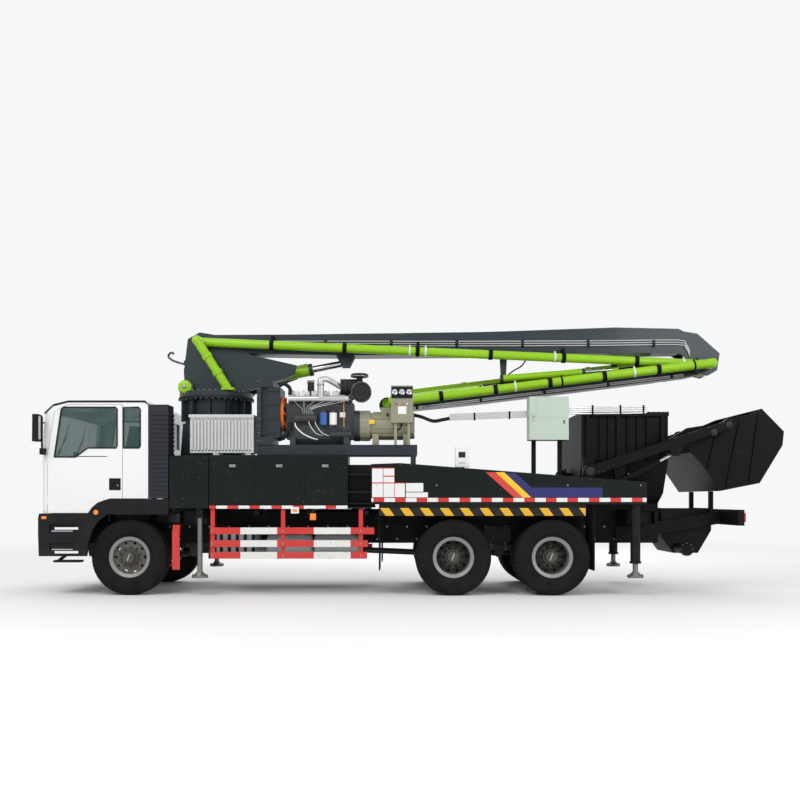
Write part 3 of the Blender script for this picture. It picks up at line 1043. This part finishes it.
def make_rear_details():
    part = Part("mixer_fittings", "frame_black", "frame_black")
    for side in (LEFT, RIGHT):
        for x in (2.66, 2.78, 3.06, 3.2, 3.34):
            part.tone("frame_black").box((x - 0.006, side * 0.9497, 1.92), (x + 0.006, side * 0.985, 2.555))
        part.tone("bolt").bolts([(2.44 + i * 0.071, side * 0.9745, 2.6195) for i in range(18)], UPWARD, 0.008,
            0.007)
    part.tone("frame_black").lathe((2.338, 0, 1.72), FORWARD, [(0.13, 0), (0.13, 0.02), (0.1, 0.025), (0.1, 0.09),
        (0.085, 0.1)], 28)
    part.tone("bolt").bolts(round_about((2.3185, 0, 1.72), 0, 0.115, 8), FORWARD, 0.009, 0.01).done(0.0012)
    part = Part("hopper_fittings", "bolt", "frame_black")
    part.studs(round_about((3.94, -0.8995, 0.64), 1, 0.086, 8), LEFTWARD, 0.006, 0.005)
    part.tone("frame_black").boxes((3.74, -0.425, 1.2245), (3.77, 0.425, 1.232), 2, (0.66, 0, 0)).done()
    skip = Part("skip_fittings", "frame_black", "frame_black", "skip")
    for side in (LEFT, RIGHT):
        out = (0, side, 0)
        for x0, z0, x1, z1 in ((4.2, 1.82, 4.34, 2.36), (4.47, 1.56, 4.66, 2.5), (4.8, 1.62, 4.93, 2.58)):
            skip.prism([(x0, z0), (x1, z1), (x1 + 0.03, z1), (x0 + 0.03, z0)], side * 0.9797, side * 1.004)
        skip.tone("rim_dark").cap((2.477, side * 1.1945, 1.762), out, 0.062, 0.01, 0.052, 0.014, 28)
        for x, z in ((4.44, 2.42), (4.23, 2.31)):
            skip.cap((x, side * 1.1945, z), out, 0.05, 0.01, 0.042, 0.014, 24)
        skip.tone("frame_black")
    for y in (-0.84 + k * 0.28 for k in range(7)):
        skip.prism([(5.297, 2.18), (5.312, 2.33), (5.3, 2.33), (5.285, 2.18)], y - 0.01, y + 0.01)
    skip.done()
    rams = Part("skip_ram_fittings", "bolt", "frame_black", "skip_barrels")
    foot, eye = Vector((2.942, 0, 1.621)), Vector((3.69, 0, 2.016))
    d = (eye - foot).normalized()
    for side in (LEFT, RIGHT):
        at = foot + Vector((0, side * 1.085, 0))
        rams.tone("frame_black").lathe(at + d * 0.6, d, ridge(0.036, 0.042, -0.03, -0.028, 0.012, 0.019), 24)
        at += d * 0.12
        rams.tone("bolt").rod(at + Vector((0, 0, 0.035)), at + Vector((0, 0, 0.058)), 0.01, 6)
    rams.done()
    for corner, x, side, low in (("front_left", -3.06, LEFT, 1.1), ("front_right", -3.274, RIGHT, 1.1),
            ("rear_left", 3.13, LEFT, 0.45), ("rear_right", 3.344, RIGHT, 0.45)):
        y = side * LEG_Y
        leg = Part("leg_collar_" + corner, "frame_black", "deck_green", "outrigger_" + corner)
        leg.lathe((x, y, low), UPWARD, ridge(0.0695, 0.082, 0, 0.002, 0.03, 0.034), 32).tone("bolt")
        for a, at in zip(angles(6), round_about((x, y, low + 0.017), 2, 0.0815, 6)):
            leg.stud(at, (math.cos(a), math.sin(a), 0), 0.005, 0.004)
        leg.done()
        foot = Part("foot_ribs_" + corner, "jack", "jack_steel", "jack_" + corner)
        for a in angles(6):
            foot.box((x + 0.05, y - 0.005, 0.2795), (x + 0.11, y + 0.005, 0.298),
                turn=(math.degrees(a), "Z", (x, y, 0.28)))
        foot.done()


# ---- Room

ROOM_WHITE = (0.93, 0.935, 0.94, 1)


def make_floor():
    net = material_net("floor")
    tone = net.mix(net.noise(0.35, 4), (0.88, 0.88, 0.875), (0.91, 0.91, 0.905))
    net.fill(net.shader, {"Base Color": tone, "Roughness": 0.85})
    net.bump(net.noise(40, 3), 0.05)
    # Far from the truck the camera sees the floor turn into the white of the room
    away = net.node("VectorMath", {0: net.place}, operation="LENGTH").outputs["Value"]
    seen = net.node("LightPath").outputs["Is Camera Ray"]
    fade = net.math("MULTIPLY", net.remap(away, 8.0, 19.0), seen)
    net.mix_shaders(fade, net.shader, net.node("Emission", {0: ROOM_WHITE}), net.out)
    mesh = bpy.data.meshes.new("floor")
    mesh.from_pydata([(-60, -40, 0), (60, -40, 0), (60, 60, 0), (-60, 60, 0)], [], [(0, 1, 2, 3)])
    mesh.materials.append(net.owner)
    floor = place("floor", mesh)


def make_room():
    make_floor()
    world = bpy.data.worlds.new("studio")
    net = Net(world)
    ray = net.node("LightPath").outputs
    seen = net.math("MAXIMUM", ray["Is Camera Ray"], ray["Is Transmission Ray"])
    soft = net.node("Background", {0: (1, 1, 1, 1), 1: 0.7})
    plain = net.node("Background", {0: ROOM_WHITE, 1: 1.0})
    net.mix_shaders(seen, soft, plain, net.node("OutputWorld"))
    bpy.context.scene.world = world
    area_light("key", (-7, -11, 11), (0, 0, 1.5), (9, 6), 900)
    area_light("fill", (9, -10, 7), (1, 0, 1.5), (8, 5), 500)
    area_light("back", (2, 12, 9), (0, 0, 1.8), (10, 5), 650)


bpy.context.scene.view_settings.view_transform = "Standard"
make_camera()
dress_all()
make_wheels()
make_markings()
make_cab_details()
make_deck_details()
make_genset_details()
make_boom_details()
make_rear_details()
make_room()
